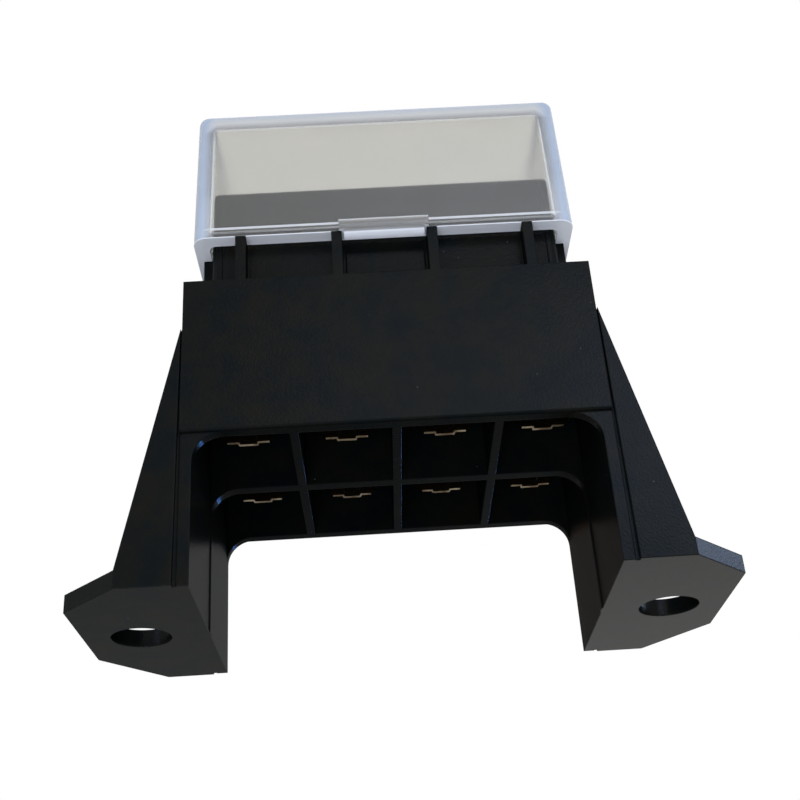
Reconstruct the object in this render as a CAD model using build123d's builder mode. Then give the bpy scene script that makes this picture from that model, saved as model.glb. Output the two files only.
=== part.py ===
from build123d import *
import os

# A four-way blade fuse holder that stands on two screw-down feet.
# X runs across the row of fuses, Y from the front panel to the back, and Z up to the cover.
# The origin is on the mounting surface, midway between the two screws. Millimetres.

os.makedirs("parts", exist_ok=True)

# The fuses that it takes
FUSES = 4
FUSE_PITCH = 10.1
FUSE_LENGTH = 19.1
FUSE_THICKNESS = 5.1
BLADE_SPACING = 14.5
BLADE_WIDTH = 5.2
BLADE_THICKNESS = 0.65
FUSE_CLEARANCE = 0.05

# Heights above the mounting surface
ARCH_HEIGHT = 15.5
LEDGE_HEIGHT = 32.9

# Case, legs and cells
CASE_WIDTH = 42.0
CASE_DEPTH = 29.0
PANEL_STEP = 0.4
PANEL_EDGE_RADIUS = 0.3
SIDE_WALL = 1.15
END_WALL = 1.1
DIVIDER = 0.9
MIDDLE_WALL = 1.3
MIDDLE_WALL_RISE = 0.12
ARCH_RADIUS = 2.9

# Feet and gussets
FOOT_REACH = 11.45
FOOT_DEPTH = 28.8
FOOT_THICKNESS = 1.8
FOOT_FRONT_CHAMFER = (5.75, 5.7)
FOOT_BACK_CHAMFER = (6.05, 7.8)
SCREW_HOLE_RADIUS = 3.05
GUSSET_DROP = 4.9
GUSSET_THICKNESS = 1.8
GUSSET_GROOVE_DEPTH = 0.5
GUSSET_GROOVE_FOOT_WIDTH = 0.4
GUSSET_GROOVE_TOP_WIDTH = 0.15

# Neck, fuse wells and clip chambers
NECK_HEIGHT = 12.2
NECK_WALL = 0.65
NECK_END_WALL = 2.9
NECK_CORNER_RADIUS = 0.8
NECK_EDGE_RADIUS = 0.5
NECK_POST_WIDTH = 1.1
NECK_FACE_RECESS = 0.15
WELL_DEPTH = 5.3
WELL_WEB = 0.9
CHAMBER_HEIGHT = 12.5
CHAMBER_DEPTH = 5.6
SLOT_CLEARANCE = 0.4
SLOT_LEAD_IN = 0.4
BAY_PAD_HEIGHT = 3.9
BAY_PAD_RISE = 0.25
BAY_PAD_MARGIN = 0.35

# Ribs that carry the cover
RIB_HEIGHT = 5.45
RIB_WIDTH = 1.1
SIDE_RIB_PROJECTION = 1.15
SIDE_RIB_SPACING = 19.2

# Cover
COVER_HEIGHT = 17.35
COVER_CLEARANCE = 0.3
COVER_WALL = 1.55
COVER_DRAFT = 1.25
COVER_CORNER_RADIUS = 1.5
COVER_TOP_RADIUS = 1.1
COVER_INSIDE_CORNER_RADIUS = 0.8
CEILING_RADIUS = 0.4
GROOVE_HEIGHT = 1.1
GROOVE_DEPTH = 0.3
GRIP_HEIGHT = 2.45
GRIP_DROP = 0.8
GRIP_PROJECTION = 0.8
GRIP_CLEARANCE = 0.25
GRIP_OVERHANG = 0.5

# Stamped terminals
SHEET = 0.4
TAB_WIDTH = 6.3
TAB_LENGTH = 8.8
TAB_TIP_CHAMFER = (1.0, 1.15)
BEAD_WIDTH = 1.7
BEAD_RISE = 0.55
BEAD_SLOPE = 0.12
BEAD_RUNOUT = 2.0
CLIP_CLEARANCE = 0.25
BARB_START = 0.4
BARB_LENGTH = 0.9
CLIP_SHELF_HEIGHT = 1.8
CLIP_SETBACK = 2.3
CLIP_BEND_RADIUS = 0.5
CLIP_ARM_RADIUS = 1.5
CLIP_BACK_HEIGHT = 5.5
CLIP_ARM_START = 2.4
CLIP_PINCH_HEIGHT = 9.7
CLIP_ARM_TOP = 11.7
CLIP_FLARE = 0.9
CLIP_PRELOAD = 0.15

# Places that follow from those sizes
columns = [(number - (FUSES - 1) / 2) * FUSE_PITCH for number in range(FUSES)]
rows = {"front": -BLADE_SPACING / 2, "back": BLADE_SPACING / 2}
chamber_places = [(x, y) for x in columns for y in rows.values()]
rib_top = LEDGE_HEIGHT + RIB_HEIGHT
neck_top = LEDGE_HEIGHT + NECK_HEIGHT
well_floor = neck_top - WELL_DEPTH
chamber_top = well_floor - WELL_WEB
cell_roof = chamber_top - CHAMBER_HEIGHT
gusset_top = LEDGE_HEIGHT - GUSSET_DROP
leg_outer = CASE_WIDTH / 2
leg_inner = leg_outer - SIDE_WALL
foot_end = leg_outer + FOOT_REACH
screw_x = leg_outer + FOOT_REACH / 2
arch_depth = CASE_DEPTH - 2 * PANEL_STEP
cell_floor = ARCH_HEIGHT - ARCH_RADIUS
cell_end = arch_depth / 2 - END_WALL
cell_edges = [-leg_inner]
for x in columns[:-1]:
    cell_edges += [x + FUSE_PITCH / 2 - DIVIDER / 2, x + FUSE_PITCH / 2 + DIVIDER / 2]
cell_edges.append(leg_inner)
cell_spans = list(zip(cell_edges[0::2], cell_edges[1::2]))
well_width = FUSE_THICKNESS + 2 * FUSE_CLEARANCE
well_length = FUSE_LENGTH + 2 * FUSE_CLEARANCE
neck_width = columns[-1] - columns[0] + well_width + 2 * NECK_WALL
neck_depth = well_length + 2 * NECK_END_WALL
slot_width = BLADE_THICKNESS + 2 * SLOT_CLEARANCE
slot_length = BLADE_WIDTH + 2 * SLOT_CLEARANCE
bay_pad_width = FUSE_PITCH - RIB_WIDTH - 2 * BAY_PAD_MARGIN
cover_opening_width = neck_width + 2 * COVER_CLEARANCE
cover_opening_depth = neck_depth + 2 * COVER_CLEARANCE
cover_width = cover_opening_width + 2 * COVER_WALL
cover_depth = cover_opening_depth + 2 * COVER_WALL
clip_width = well_width - 2 * CLIP_CLEARANCE


# The housing is one moulding. It starts as the upright block between the two panels.
with BuildPart() as housing:
    with BuildSketch():
        Rectangle(CASE_WIDTH, arch_depth)
    extrude(amount=LEDGE_HEIGHT)

    # Front and back panels stand a little proud of the arch frame below them.
    with BuildSketch(Plane.XY.offset(ARCH_HEIGHT)):
        Rectangle(CASE_WIDTH, CASE_DEPTH)
    extrude(amount=LEDGE_HEIGHT - ARCH_HEIGHT)
    panel_edges = housing.edges().filter_by(Axis.X).group_by(Axis.Y)
    lower_edges = [edge for group in (panel_edges[0], panel_edges[-1]) for edge in group
                   if edge.center().Z < LEDGE_HEIGHT - PANEL_EDGE_RADIUS]
    fillet(lower_edges, radius=PANEL_EDGE_RADIUS)

    # The passage between the legs has rounded upper corners in each of the three walls.
    with BuildSketch(Plane.XZ) as passage:
        Rectangle(2 * leg_inner, ARCH_HEIGHT, align=(Align.CENTER, Align.MIN))
        fillet(passage.vertices().group_by(Axis.Y)[-1], radius=ARCH_RADIUS)
    extrude(amount=CASE_DEPTH, both=True, mode=Mode.SUBTRACT)

    # Eight cells reach up from the passage, two deep and one for each fuse.
    for low_x, high_x in cell_spans:
        for low_y, high_y in ((-cell_end, -MIDDLE_WALL / 2), (MIDDLE_WALL / 2, cell_end)):
            with BuildSketch(Plane.XY.offset(cell_floor)):
                with Locations(((low_x + high_x) / 2, (low_y + high_y) / 2)):
                    Rectangle(high_x - low_x, high_y - low_y)
            extrude(amount=cell_roof - cell_floor, mode=Mode.SUBTRACT)

    # The middle wall runs on down each leg as a faint raised line.
    for side in (-1, 1):
        with BuildSketch():
            with Locations((side * (leg_inner - MIDDLE_WALL_RISE / 2), 0)):
                Rectangle(MIDDLE_WALL_RISE, MIDDLE_WALL)
        extrude(amount=ARCH_HEIGHT)

    # Each foot is a plate with both outer corners cut off, and a round screw hole.
    with BuildSketch():
        with BuildLine():
            Polyline(
                (leg_outer, -FOOT_DEPTH / 2),
                (foot_end - FOOT_FRONT_CHAMFER[0], -FOOT_DEPTH / 2),
                (foot_end, -FOOT_DEPTH / 2 + FOOT_FRONT_CHAMFER[1]),
                (foot_end, FOOT_DEPTH / 2 - FOOT_BACK_CHAMFER[1]),
                (foot_end - FOOT_BACK_CHAMFER[0], FOOT_DEPTH / 2),
                (leg_outer, FOOT_DEPTH / 2),
                close=True,
            )
        make_face()
        mirror(about=Plane.YZ)
    extrude(amount=FOOT_THICKNESS)
    with Locations((-screw_x, 0, FOOT_THICKNESS), (screw_x, 0, FOOT_THICKNESS)):
        Hole(radius=SCREW_HOLE_RADIUS, depth=FOOT_THICKNESS)

    # Gusset webs brace each foot at its front and back, and leave the screw open to a driver.
    for web_start, chamfer_width in (
        (FOOT_DEPTH / 2 - GUSSET_THICKNESS, FOOT_FRONT_CHAMFER[0]),
        (-FOOT_DEPTH / 2, FOOT_BACK_CHAMFER[0]),
    ):
        with BuildSketch(Plane.XZ.offset(web_start)):
            with BuildLine():
                Polyline(
                    (leg_outer, 0),
                    (foot_end - chamfer_width, 0),
                    (foot_end - chamfer_width, FOOT_THICKNESS),
                    (leg_outer, gusset_top),
                    close=True,
                )
            make_face()
            mirror(about=Plane.YZ)
        extrude(amount=GUSSET_THICKNESS)

    # A fine groove, wider towards the foot, parts the face of each gusset from the leg beside it.
    for groove_start in (FOOT_DEPTH / 2 - GUSSET_GROOVE_DEPTH, -FOOT_DEPTH / 2):
        with BuildSketch(Plane.XZ.offset(groove_start)):
            with BuildLine():
                Polyline(
                    (leg_outer, 0),
                    (leg_outer + GUSSET_GROOVE_FOOT_WIDTH, 0),
                    (leg_outer + GUSSET_GROOVE_TOP_WIDTH, gusset_top),
                    (leg_outer, gusset_top),
                    close=True,
                )
            make_face()
            mirror(about=Plane.YZ)
        extrude(amount=GUSSET_GROOVE_DEPTH, mode=Mode.SUBTRACT)

    # The neck carries the fuses and guides the cover.
    with BuildSketch(Plane.XY.offset(LEDGE_HEIGHT)):
        RectangleRounded(neck_width, neck_depth, radius=NECK_CORNER_RADIUS)
    extrude(amount=NECK_HEIGHT)
    fillet(housing.faces().sort_by(Axis.Z)[-1].edges(), radius=NECK_EDGE_RADIUS)

    # Its front and back faces lie a little behind the posts at its corners.
    neck_face = neck_depth / 2 - NECK_FACE_RECESS
    recess_middle = neck_face + CASE_DEPTH / 2
    with BuildSketch(Plane.XY.offset(LEDGE_HEIGHT)):
        with Locations((0, -recess_middle), (0, recess_middle)):
            Rectangle(neck_width - 2 * NECK_POST_WIDTH, CASE_DEPTH)
    extrude(amount=NECK_HEIGHT, mode=Mode.SUBTRACT)

    # Ribs stand on the ledge around the neck, and the cover's mouth rests on them.
    with BuildSketch(Plane.XY.offset(LEDGE_HEIGHT)):
        with Locations(*[(x, 0) for x in columns]):
            Rectangle(RIB_WIDTH, CASE_DEPTH)
        with Locations((0, -SIDE_RIB_SPACING / 2), (0, SIDE_RIB_SPACING / 2)):
            Rectangle(neck_width + 2 * SIDE_RIB_PROJECTION, RIB_WIDTH)
    extrude(amount=RIB_HEIGHT)

    # A plain raised pad fills the middle bay at the front.
    with BuildSketch(Plane.XY.offset(LEDGE_HEIGHT)):
        with Locations((0, -neck_face)):
            Rectangle(bay_pad_width, 2 * BAY_PAD_RISE)
    extrude(amount=BAY_PAD_HEIGHT)

    # One well for each fuse body, open at the top.
    with BuildSketch(Plane.XY.offset(well_floor)):
        with Locations(*[(x, 0) for x in columns]):
            Rectangle(well_width, well_length)
    extrude(amount=WELL_DEPTH, mode=Mode.SUBTRACT)

    # Clip chambers are cored from the cells, up to a web under the wells.
    with BuildSketch(Plane.XY.offset(cell_roof)):
        with Locations(*chamber_places):
            Rectangle(well_width, CHAMBER_DEPTH)
    extrude(amount=CHAMBER_HEIGHT, mode=Mode.SUBTRACT)

    # Blade slots lead through that web, and widen at the top to guide the blades in.
    with BuildSketch(Plane.XY.offset(chamber_top)):
        with Locations(*chamber_places):
            Rectangle(slot_width, slot_length)
    extrude(amount=WELL_WEB, mode=Mode.SUBTRACT)
    with BuildSketch(Plane.XY.offset(well_floor)):
        with Locations(*chamber_places):
            Rectangle(slot_width + 2 * SLOT_LEAD_IN, slot_length + 2 * SLOT_LEAD_IN)
    extrude(amount=-SLOT_LEAD_IN, taper=45, mode=Mode.SUBTRACT)

housing.part.label = "housing"
export_step(housing.part, "parts/housing.step")


# The cover is a deep clear cap, whose mouth stands on the ribs.
with BuildPart() as cover:
    with BuildSketch(Plane.XY.offset(rib_top)):
        RectangleRounded(cover_width, cover_depth, radius=COVER_CORNER_RADIUS)
    extrude(amount=COVER_HEIGHT, taper=COVER_DRAFT)
    fillet(cover.faces().sort_by(Axis.Z)[-1].edges(), radius=COVER_TOP_RADIUS)

    # A half-round bar between the two middle ribs gives a finger something to lift by.
    cover_front = -cover_depth / 2
    grip_root = cover_front - GRIP_PROJECTION + GRIP_HEIGHT / 2
    grip_low = rib_top - GRIP_DROP
    with BuildSketch(Plane.YZ):
        with BuildLine():
            ThreePointArc(
                (grip_root, grip_low),
                (cover_front - GRIP_PROJECTION, grip_low + GRIP_HEIGHT / 2),
                (grip_root, grip_low + GRIP_HEIGHT),
            )
            Line(
                (grip_root, grip_low + GRIP_HEIGHT),
                (grip_root, grip_low),
            )
        make_face()
    grip_reach = (FUSE_PITCH - RIB_WIDTH) / 2 - GRIP_CLEARANCE
    extrude(amount=grip_reach + GRIP_OVERHANG, both=True)

    # Below the mouth the bar is shorter, so that it passes between the ribs.
    overhang_middle = grip_reach + GRIP_OVERHANG / 2
    with BuildSketch(Plane.XY.offset(rib_top)):
        with Locations((-overhang_middle, cover_front), (overhang_middle, cover_front)):
            Rectangle(GRIP_OVERHANG, 2 * (GRIP_PROJECTION + COVER_WALL))
    extrude(amount=-GRIP_DROP, mode=Mode.SUBTRACT)

    # The inside follows the outside at an even wall.
    with BuildSketch(Plane.XY.offset(rib_top)):
        RectangleRounded(
            cover_opening_width,
            cover_opening_depth,
            radius=COVER_INSIDE_CORNER_RADIUS,
        )
    extrude(amount=COVER_HEIGHT - COVER_WALL, taper=COVER_DRAFT, mode=Mode.SUBTRACT)
    ceiling = cover.faces().filter_by(Axis.Z).sort_by(Axis.Z)[-2]
    fillet(ceiling.edges(), radius=CEILING_RADIUS)

    # A shallow groove runs round inside the mouth, and shows through the wall as a line.
    for flank in (-GROOVE_DEPTH, GROOVE_DEPTH):
        with BuildSketch(Plane.XY.offset(rib_top + GROOVE_HEIGHT)):
            RectangleRounded(
                cover_opening_width + 2 * GROOVE_DEPTH,
                cover_opening_depth + 2 * GROOVE_DEPTH,
                radius=COVER_INSIDE_CORNER_RADIUS + GROOVE_DEPTH,
            )
        extrude(amount=flank, taper=45, mode=Mode.SUBTRACT)

cover.part.label = "cover"
export_step(cover.part, "parts/cover.step")


# Each terminal is one brass strip: a push-on tab below, and a sprung clip above for one fuse blade.
# It is made at the middle of the box, with its shoulders against the cell roof.
tab_tip = cell_roof - TAB_LENGTH
bead_top = cell_roof - BEAD_RUNOUT
shelf_height = cell_roof + CLIP_SHELF_HEIGHT
with BuildPart() as terminal:
    # The lower tab is stiffened by a bead, which shows as a step in its tip.
    slope_start = BEAD_WIDTH / 2 + BEAD_SLOPE
    with BuildSketch(Plane.XY.offset(tab_tip)):
        with BuildLine():
            Polyline(
                (0, BEAD_RISE - SHEET / 2),
                (BEAD_WIDTH / 2, BEAD_RISE - SHEET / 2),
                (slope_start, -SHEET / 2),
                (TAB_WIDTH / 2, -SHEET / 2),
                (TAB_WIDTH / 2, SHEET / 2),
                (slope_start + BEAD_SLOPE, SHEET / 2),
                (BEAD_WIDTH / 2 + BEAD_SLOPE, BEAD_RISE + SHEET / 2),
                (0, BEAD_RISE + SHEET / 2),
                close=True,
            )
        make_face()
        mirror(about=Plane.YZ)
    extrude(amount=bead_top - tab_tip)

    # Its tip is chamfered to guide the push-on receptacle.
    with BuildSketch(Plane.XZ):
        with BuildLine():
            Polyline(
                (0, tab_tip),
                (TAB_WIDTH / 2 - TAB_TIP_CHAMFER[0], tab_tip),
                (TAB_WIDTH / 2, tab_tip + TAB_TIP_CHAMFER[1]),
                (TAB_WIDTH / 2, bead_top),
                (0, bead_top),
                close=True,
            )
        make_face()
        mirror(about=Plane.YZ)
    extrude(amount=BEAD_RISE + SHEET, both=True, mode=Mode.INTERSECT)

    # Shoulders stop under the cell roof, and barbs bite into the sides of the chamber mouth.
    barb_low = cell_roof + BARB_START
    with BuildSketch(Plane.XZ):
        with BuildLine():
            Polyline(
                (0, bead_top),
                (TAB_WIDTH / 2, bead_top),
                (TAB_WIDTH / 2, cell_roof),
                (clip_width / 2, cell_roof),
                (clip_width / 2, barb_low),
                (well_width / 2, barb_low),
                (clip_width / 2, barb_low + BARB_LENGTH),
                (0, barb_low + BARB_LENGTH),
                close=True,
            )
        make_face()
        mirror(about=Plane.YZ)
    extrude(amount=SHEET / 2, both=True)

    # Above the roof the strip steps back to leave the blade's place clear.
    with BuildSketch(Plane.YZ):
        with BuildLine():
            FilletPolyline(
                (0, cell_roof),
                (0, shelf_height),
                (CLIP_SETBACK, shelf_height),
                (CLIP_SETBACK, cell_roof + CLIP_BACK_HEIGHT),
                radius=CLIP_BEND_RADIUS,
            )
        trace(line_width=SHEET)
    extrude(amount=clip_width / 2, both=True)

    # Two arms are bent forward from its sides. They lean in to pinch the blade, and flare above it.
    pinch = BLADE_THICKNESS / 2 - CLIP_PRELOAD / 2 + SHEET / 2
    with BuildSketch(Plane.XZ.offset(-CLIP_SETBACK - SHEET / 2)):
        with BuildLine():
            FilletPolyline(
                (clip_width / 2 - SHEET / 2, cell_roof + CLIP_ARM_START),
                (clip_width / 2 - SHEET / 2, cell_roof + CLIP_BACK_HEIGHT),
                (pinch, cell_roof + CLIP_PINCH_HEIGHT),
                (pinch + CLIP_FLARE, cell_roof + CLIP_ARM_TOP),
                radius=CLIP_ARM_RADIUS,
            )
        trace(line_width=SHEET)
        mirror(about=Plane.YZ)
    extrude(amount=BLADE_WIDTH - SHEET)

for row, row_y in rows.items():
    for number, column_x in enumerate(columns, start=1):
        placed = terminal.part.moved(Location((column_x, row_y, 0)))
        placed.label = f"terminal_{row}_{number}"
        export_step(placed, f"parts/{placed.label}.step")
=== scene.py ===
from math import radians

import bpy
from mathutils import Matrix, Vector

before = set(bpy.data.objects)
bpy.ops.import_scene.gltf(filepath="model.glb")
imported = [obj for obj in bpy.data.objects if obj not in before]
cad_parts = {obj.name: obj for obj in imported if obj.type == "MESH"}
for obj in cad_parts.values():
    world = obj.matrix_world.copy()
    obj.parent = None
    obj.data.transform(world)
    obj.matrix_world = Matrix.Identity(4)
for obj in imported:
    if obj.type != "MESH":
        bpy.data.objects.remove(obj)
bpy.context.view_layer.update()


# Housing: one injection moulding in black polyamide, from a spark-eroded mould. It is near black
# and satin, a little warmer or cooler from place to place, with soft edges and a few specks of
# dust.
MM = 0.001
MOTTLE = 5.0
GRAIN = 0.24
GRAIN_DEPTH = 0.05
DUST_SPACING = 2.6
DUST_RADIUS = 0.06
EDGE_RADIUS = 0.18


def linear(code):
    """The linear colour of an sRGB hex code."""
    channels = [int(code[start:start + 2], 16) / 255 for start in (1, 3, 5)]
    return [
        c / 12.92 if c <= 0.04045 else ((c + 0.055) / 1.055) ** 2.4 for c in channels
    ] + [1.0]


def add(tree, kind, sockets, **settings):
    """Adds a node. sockets gives each input its value, or the output that feeds it."""
    node = tree.nodes.new(kind)
    for name, value in settings.items():
        setattr(node, name, value)
    for name, value in sockets.items():
        if isinstance(value, bpy.types.NodeSocket):
            tree.links.new(value, node.inputs[name])
        else:
            node.inputs[name].default_value = value
    return node


def per_mm(size):
    """The texture scale that makes one feature this many millimetres wide."""
    return 1 / (size * MM)


def new_material(name):
    """A material whose node tree is still empty."""
    material = bpy.data.materials.new(name)
    material.use_nodes = True
    material.node_tree.nodes.clear()
    return material


def finish_node(node_name, material):
    """Gives a CAD node its finish."""
    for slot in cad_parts[node_name].material_slots:
        slot.material = material


# Polyamide straight from the mould: a deep black with a soft, broad sheen and no clear mirror.
polyamide = new_material("black moulded polyamide")
tree = polyamide.node_tree
place = add(tree, "ShaderNodeTexCoord", {}).outputs["Object"]
# The mottle is the uneven skin of the moulding: it turns the black a little and changes its sheen.
mottle = add(tree, "ShaderNodeTexNoise", {
    "Vector": place, "Scale": per_mm(MOTTLE), "Detail": 6.0, "Roughness": 0.75,
}).outputs["Fac"]
uneven = add(tree, "ShaderNodeMapRange", {
    "Value": mottle, "From Min": 0.3, "From Max": 0.7,
}).outputs[0]
plastic = add(tree, "ShaderNodeMix", {
    0: uneven, 6: linear("#040c11"), 7: linear("#15140e"),
}, data_type="RGBA").outputs[2]
sheen = add(tree, "ShaderNodeMapRange", {
    "Value": mottle, "From Min": 0.3, "From Max": 0.7, "To Min": 0.34, "To Max": 0.44,
}).outputs[0]
# Dust lies on it as single pale specks.
dust_cell = add(tree, "ShaderNodeTexVoronoi", {"Vector": place, "Scale": per_mm(DUST_SPACING)})
dust = add(tree, "ShaderNodeMath", {
    0: dust_cell.outputs["Distance"], 1: DUST_RADIUS / DUST_SPACING,
}, operation="LESS_THAN").outputs[0]
colour = add(tree, "ShaderNodeMix", {
    0: dust, 6: plastic, 7: linear("#4d565f"),
}, data_type="RGBA").outputs[2]
# The edges take a thin line of light, and the grain of the eroded mould breaks up the sheen. The
# real grain is finer; it is drawn coarser so that it shows.
soft_edge = add(tree, "ShaderNodeBevel", {"Radius": EDGE_RADIUS * MM}, samples=6).outputs[0]
grain = add(tree, "ShaderNodeTexNoise", {
    "Vector": place, "Scale": per_mm(GRAIN), "Detail": 2.0,
}).outputs["Fac"]
texture = add(tree, "ShaderNodeBump", {
    "Height": grain, "Strength": 0.5, "Distance": GRAIN_DEPTH * MM, "Normal": soft_edge,
}).outputs[0]
# The coat is the smooth skin of the moulding, which gives all of its sheen.
shader = add(tree, "ShaderNodeBsdfPrincipled", {
    "Base Color": colour,
    "Roughness": sheen,
    "IOR": 1.53,
    "Specular IOR Level": 0.0,
    "Coat Weight": 0.11,
    "Coat Roughness": 0.22,
    "Coat IOR": 1.53,
    "Normal": texture,
    "Coat Normal": texture,
})
add(tree, "ShaderNodeOutputMaterial", {"Surface": shader.outputs[0]})
finish_node("housing", polyamide)


# Terminals: eight strips stamped from rolled brass sheet, pushed into the housing from below and
# held there by their barbs. The fuses' blades and the wires' receptacles push onto them.
ROLLING_LINE = 0.12
ROLLING_STRETCH = 0.03
ROLLING_DEPTH = 0.01
TARNISH = 1.3

# Brass sheet as it comes from the press: pale and bright, with brown patches.
brass = new_material("stamped brass sheet")
tree = brass.node_tree
place = add(tree, "ShaderNodeTexCoord", {}).outputs["Object"]
# The tarnish goes over the metal in soft patches, browner and duller where it is thick.
tarnish = add(tree, "ShaderNodeTexNoise", {
    "Vector": place, "Scale": per_mm(TARNISH), "Detail": 3.0,
}).outputs["Fac"]
patches = add(tree, "ShaderNodeMapRange", {
    "Value": tarnish, "From Min": 0.35, "From Max": 0.6,
}).outputs[0]
metal = add(tree, "ShaderNodeMix", {
    0: patches, 6: linear("#d2bfa0"), 7: linear("#7d6546"),
}, data_type="RGBA").outputs[2]
dull = add(tree, "ShaderNodeMapRange", {
    "Value": tarnish, "From Min": 0.3, "From Max": 0.7, "To Min": 0.16, "To Max": 0.28,
}).outputs[0]
# The lines of rolling stretch the glints along the strip.
along = add(tree, "ShaderNodeMapping", {
    "Vector": place, "Scale": (1.0, 1.0, ROLLING_STRETCH),
}).outputs[0]
lines = add(tree, "ShaderNodeTexNoise", {
    "Vector": along, "Scale": per_mm(ROLLING_LINE), "Detail": 2.0,
}).outputs["Fac"]
rolled = add(tree, "ShaderNodeBump", {
    "Height": lines, "Strength": 0.15, "Distance": ROLLING_DEPTH * MM,
}).outputs[0]
shader = add(tree, "ShaderNodeBsdfPrincipled", {
    "Base Color": metal,
    "Metallic": 1.0,
    "Roughness": dull,
    "Normal": rolled,
})
add(tree, "ShaderNodeOutputMaterial", {"Surface": shader.outputs[0]})
for node_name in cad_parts:
    if node_name.startswith("terminal"):
        finish_node(node_name, brass)


# Cover: one clear polycarbonate moulding, pressed over the neck. Its faces are satin. Its edges
# carry painted light: a milky blue that stands in for the cool light and haze seen along the
# walls. The lower face of its mouth is drawn pale, and a pale line at the groove is a painted
# highlight.
FLOW = 9.0
# The edges painted milky blue start this far from the origin; the rim, the groove and the top are
# heights.
PAINTED_EDGE_X = 17.9
PAINTED_EDGE_Y = 12.4
PAINTED_EDGE_Z = 52.9
PAINTED_EDGE_BLEND = 1.3
RIM_TOP = 38.5
RIM_BLEND = 0.1
GROOVE_Z = 39.5
GROOVE_HALF = 0.15
GROOVE_HIGHLIGHT = 0.6
GRIP_BACK = -14.85
TOP_EDGE = 54.3

# Polycarbonate with satin faces: what lies close behind it shows, and the rest blurs.
polycarbonate = new_material("clear moulded polycarbonate")
tree = polycarbonate.node_tree
place = add(tree, "ShaderNodeTexCoord", {}).outputs["Object"]
# The flow of the melt leaves broad cloudy patches, slightly warmer and duller.
flow = add(tree, "ShaderNodeTexNoise", {
    "Vector": place, "Scale": per_mm(FLOW), "Detail": 3.0,
}).outputs["Fac"]
clear = add(tree, "ShaderNodeMix", {
    0: flow, 6: linear("#e9e7e0"), 7: linear("#e7e7e5"),
}, data_type="RGBA").outputs[2]
# Painted light: near an edge of the box, where one looks along a wall, the colour turns a milky
# blue that stands in for the cool light and haze seen there.
apart = add(tree, "ShaderNodeSeparateXYZ", {0: place})
zones = []
for axis, start in (("X", PAINTED_EDGE_X), ("Y", PAINTED_EDGE_Y), ("Z", PAINTED_EDGE_Z)):
    away = add(tree, "ShaderNodeMath", {0: apart.outputs[axis]}, operation="ABSOLUTE").outputs[0]
    zones.append(add(tree, "ShaderNodeMapRange", {
        "Value": away, "From Min": start * MM, "From Max": (start + PAINTED_EDGE_BLEND) * MM,
    }).outputs[0])
beside = add(tree, "ShaderNodeMath", {0: zones[0], 1: zones[1]}, operation="ADD").outputs[0]
beside = add(tree, "ShaderNodeMath", {0: beside, 1: 1.0}, operation="SUBTRACT").outputs[0]
two_walls = add(tree, "ShaderNodeMath", {0: beside, 1: zones[2]}, operation="ADD").outputs[0]
# The painted blue is strongest at the very edge; under the roof the painted milkiness is as warm
# as the clear faces.
top_edge = add(tree, "ShaderNodeMapRange", {
    "Value": apart.outputs["Z"],
    "From Min": TOP_EDGE * MM, "From Max": (TOP_EDGE + PAINTED_EDGE_BLEND) * MM,
}).outputs[0]
painted_cool_edge = add(tree, "ShaderNodeMath", {0: beside, 1: top_edge}, operation="ADD").outputs[0]
milk_and_painted_light = add(tree, "ShaderNodeMix", {
    0: painted_cool_edge, 6: clear, 7: linear("#c0cfe3"),
}, data_type="RGBA", clamp_factor=True).outputs[2]
# The mouth's lower face is drawn pale and nearly opaque, so that it shows bright, and a pale line
# at the groove just inside it is a painted highlight.
# The finger bar in front of them stays clear.
low = add(tree, "ShaderNodeMapRange", {
    "Value": apart.outputs["Z"],
    "From Min": RIM_TOP * MM, "From Max": (RIM_TOP - RIM_BLEND) * MM,
}).outputs[0]
behind_grip = add(tree, "ShaderNodeMath", {
    0: apart.outputs["Y"], 1: GRIP_BACK * MM,
}, operation="GREATER_THAN").outputs[0]
low = add(tree, "ShaderNodeMath", {0: low, 1: behind_grip}, operation="MULTIPLY").outputs[0]
groove_highlight = add(tree, "ShaderNodeMath", {
    0: apart.outputs["Z"], 1: GROOVE_Z * MM, 2: GROOVE_HALF * MM,
}, operation="COMPARE").outputs[0]
off_corner = add(tree, "ShaderNodeMapRange", {
    "Value": two_walls, "To Min": GROOVE_HIGHLIGHT, "To Max": 0.0,
}).outputs[0]
groove_highlight = add(tree, "ShaderNodeMath", {0: groove_highlight, 1: off_corner}, operation="MULTIPLY").outputs[0]
pale_rim_and_groove_highlight = add(tree, "ShaderNodeMath", {0: low, 1: groove_highlight}, operation="MAXIMUM").outputs[0]
milk_and_painted_light = add(tree, "ShaderNodeMix", {
    0: pale_rim_and_groove_highlight, 6: milk_and_painted_light, 7: linear("#f2f5fb"),
}, data_type="RGBA").outputs[2]
# The painted milky edges let less light through, and the pale lower face and the painted groove
# highlight hardly any.
painted_haze_and_pale_rim = add(tree, "ShaderNodeMath", {
    0: two_walls, 1: pale_rim_and_groove_highlight,
}, operation="MAXIMUM", use_clamp=True).outputs[0]
passing = add(tree, "ShaderNodeMapRange", {
    "Value": painted_haze_and_pale_rim, "To Min": 0.97, "To Max": 0.4,
}).outputs[0]
through_rim_and_groove = add(tree, "ShaderNodeMapRange", {
    "Value": pale_rim_and_groove_highlight, "To Min": 1.0, "To Max": 0.3,
}).outputs[0]
passing = add(tree, "ShaderNodeMath", {0: passing, 1: through_rim_and_groove}, operation="MULTIPLY").outputs[0]
satin = add(tree, "ShaderNodeMapRange", {
    "Value": flow, "From Min": 0.3, "From Max": 0.7, "To Min": 0.2, "To Max": 0.25,
}).outputs[0]
shader = add(tree, "ShaderNodeBsdfPrincipled", {
    "Base Color": milk_and_painted_light,
    "Roughness": satin,
    "IOR": 1.58,
    "Transmission Weight": passing,
})
add(tree, "ShaderNodeOutputMaterial", {"Surface": shader.outputs[0]})
finish_node("cover", polycarbonate)


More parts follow.
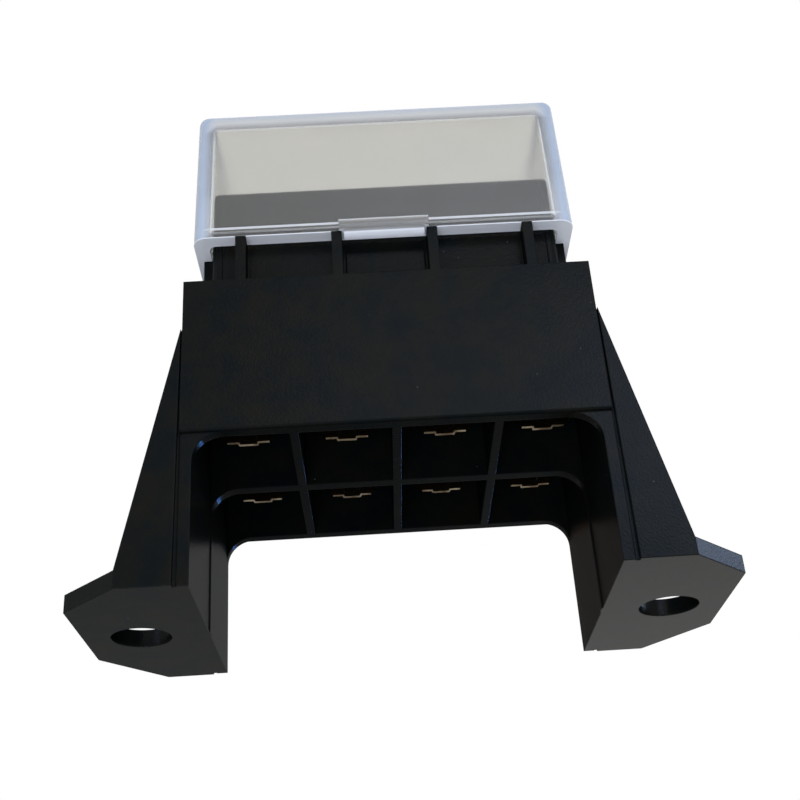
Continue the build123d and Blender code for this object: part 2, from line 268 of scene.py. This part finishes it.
# Camera: it stands in front of the holder and below its feet, and looks up into the cells. Its
# place and its two directions were fitted to the photograph.
LENS = 54.9
SENSOR = 36.0
CAMERA_PLACE = (-2.79, -119.22, -38.89)
CAMERA_RIGHT = (0.99813, 0.00231, -0.06113)
CAMERA_UP = (0.05486, -0.47593, 0.87777)
NEAREST = 1

camera_data = bpy.data.cameras.new("camera")
camera_data.lens = LENS
camera_data.sensor_width = SENSOR
camera_data.clip_start = NEAREST * MM
camera = bpy.data.objects.new("camera", camera_data)
bpy.context.scene.collection.objects.link(camera)
right = Vector(CAMERA_RIGHT)
up = Vector(CAMERA_UP)
turned = Matrix((right, up, right.cross(up))).transposed().to_4x4()
camera.matrix_world = Matrix.Translation(Vector(CAMERA_PLACE) * MM) @ turned
bpy.context.scene.camera = camera


# Floor: a plain pale sheet under the feet. It shows from above only, and lets the lamps below
# it through to the soles, because the camera looks up from under it.
FLOOR_GAP = 0.02
FLOOR_SIZE = 900
SOLE_REACH = 0.5

bpy.ops.mesh.primitive_plane_add(size=FLOOR_SIZE * MM, location=(0, 0, -FLOOR_GAP * MM))
floor = bpy.context.object
floor.name = "floor"
# Matt paper, pale to the eye; it throws a little less light back at the holder than it shows.
pale = new_material("pale paper floor")
tree = pale.node_tree
below = add(tree, "ShaderNodeNewGeometry", {}).outputs["Backfacing"]
path = add(tree, "ShaderNodeLightPath", {})
unseen = add(tree, "ShaderNodeMath", {
    0: below, 1: path.outputs["Is Shadow Ray"],
}, operation="MAXIMUM").outputs[0]
at_sole = add(tree, "ShaderNodeMath", {
    0: path.outputs["Ray Length"], 1: SOLE_REACH * MM,
}, operation="LESS_THAN").outputs[0]
unseen = add(tree, "ShaderNodeMath", {0: unseen, 1: at_sole}, operation="MAXIMUM").outputs[0]
shade = add(tree, "ShaderNodeMix", {
    0: path.outputs["Is Camera Ray"], 6: linear("#acacaa"), 7: linear("#e8e8e6"),
}, data_type="RGBA").outputs[2]
paper = add(tree, "ShaderNodeBsdfDiffuse", {"Color": shade}).outputs[0]
through = add(tree, "ShaderNodeBsdfTransparent", {}).outputs[0]
mixed = add(tree, "ShaderNodeMixShader", {0: unseen, 1: paper, 2: through})
add(tree, "ShaderNodeOutputMaterial", {"Surface": mixed.outputs[0]})
floor.data.materials.append(pale)


# Lamps: soft rectangles round the object. In front stand a neutral one and a cool window, on both
# sides cooler ones, behind and below one for the right foot's sole, below in front one for the
# cover's lower edge, and behind a narrow blue strip that the left arches mirror.
WIDE = 180
NARROW = 12
MIDDLE = (0, 0, 20)
LEFT_ARCHES = (-17, -6, 14)

for name, spot, size, power, tint, aim, spread in (
    ("front", (26, -268, 140), (102, 130), 0.075, "#e8f0ff", MIDDLE, WIDE),
    ("window", (108, -250, 128), (62, 110), 0.14, "#bfd6ff", MIDDLE, WIDE),
    ("right", (281, 50, 113), (80, 80), 0.34, "#c0d8ff", MIDDLE, WIDE),
    ("left", (-228, -160, 132), (80, 80), 0.09, "#b8d0ff", MIDDLE, WIDE),
    ("behind", (98, 268, -93), (160, 160), 0.18, "#fcfbf6", MIDDLE, WIDE),
    ("below", (-40, -226, -150), (160, 160), 0.34, "#eef3ff", MIDDLE, WIDE),
    ("strip", (34, 95, 2.5), (50, 4), 0.00042, "#5a9cff", LEFT_ARCHES, NARROW),
):
    lamp_data = bpy.data.lights.new(name, "AREA")
    lamp_data.shape = "RECTANGLE"
    lamp_data.size, lamp_data.size_y = (side * MM for side in size)
    lamp_data.energy = power
    lamp_data.color = linear(tint)[:3]
    lamp_data.spread = radians(spread)
    lamp = bpy.data.objects.new(name, lamp_data)
    bpy.context.scene.collection.objects.link(lamp)
    lamp.location = Vector(spot) * MM
    lamp.rotation_euler = (Vector(aim) * MM - lamp.location).to_track_quat("-Z", "Y").to_euler()
    lamp.visible_camera = False


# Board: a glowing brown sheet behind on the left, out of the camera's sight and no lamp: a painted
# reflection. The right leg's inner face mirrors it, as it mirrors the room in the photograph. It
# lights nothing else.
BOARD_PLACE = (-88, 300, 170)
BOARD_SIZE = (156, 320, 0)

bpy.ops.mesh.primitive_plane_add(size=1, location=Vector(BOARD_PLACE) * MM)
board = bpy.context.object
board.name = "glowing brown reflection board"
board.dimensions = Vector(BOARD_SIZE) * MM
board.rotation_euler = (Vector(MIDDLE) * MM - board.location).to_track_quat("Z", "Y").to_euler()
board.visible_camera = board.visible_transmission = False
board.visible_diffuse = board.visible_shadow = False
# Glowing brown card, as bright as it is in the mirror of the leg: a painted reflection.
brown = new_material("glowing brown reflection board")
glow = add(brown.node_tree, "ShaderNodeEmission", {"Color": linear("#84705f")})
add(brown.node_tree, "ShaderNodeOutputMaterial", {"Surface": glow.outputs[0]})
board.data.materials.append(brown)


# World: white behind the object, also in what it reflects and lets through, and a plain dim
# light on everything else.
DIM = 0.8
WHITE = 1.0

world = bpy.data.worlds.new("studio")
bpy.context.scene.world = world
world.use_nodes = True
tree = world.node_tree
tree.nodes.clear()
path = add(tree, "ShaderNodeLightPath", {})
seen = add(tree, "ShaderNodeMath", {
    0: path.outputs["Is Camera Ray"], 1: path.outputs["Is Glossy Ray"],
}, operation="MAXIMUM").outputs[0]
seen = add(tree, "ShaderNodeMath", {
    0: seen, 1: path.outputs["Is Transmission Ray"],
}, operation="MAXIMUM").outputs[0]
level = add(tree, "ShaderNodeMapRange", {
    "Value": seen, "To Min": DIM, "To Max": WHITE,
}).outputs[0]
backdrop = add(tree, "ShaderNodeBackground", {"Color": linear("#ffffff"), "Strength": level})
add(tree, "ShaderNodeOutputWorld", {"Surface": backdrop.outputs[0]})
bpy.context.scene.view_settings.view_transform = "Standard"
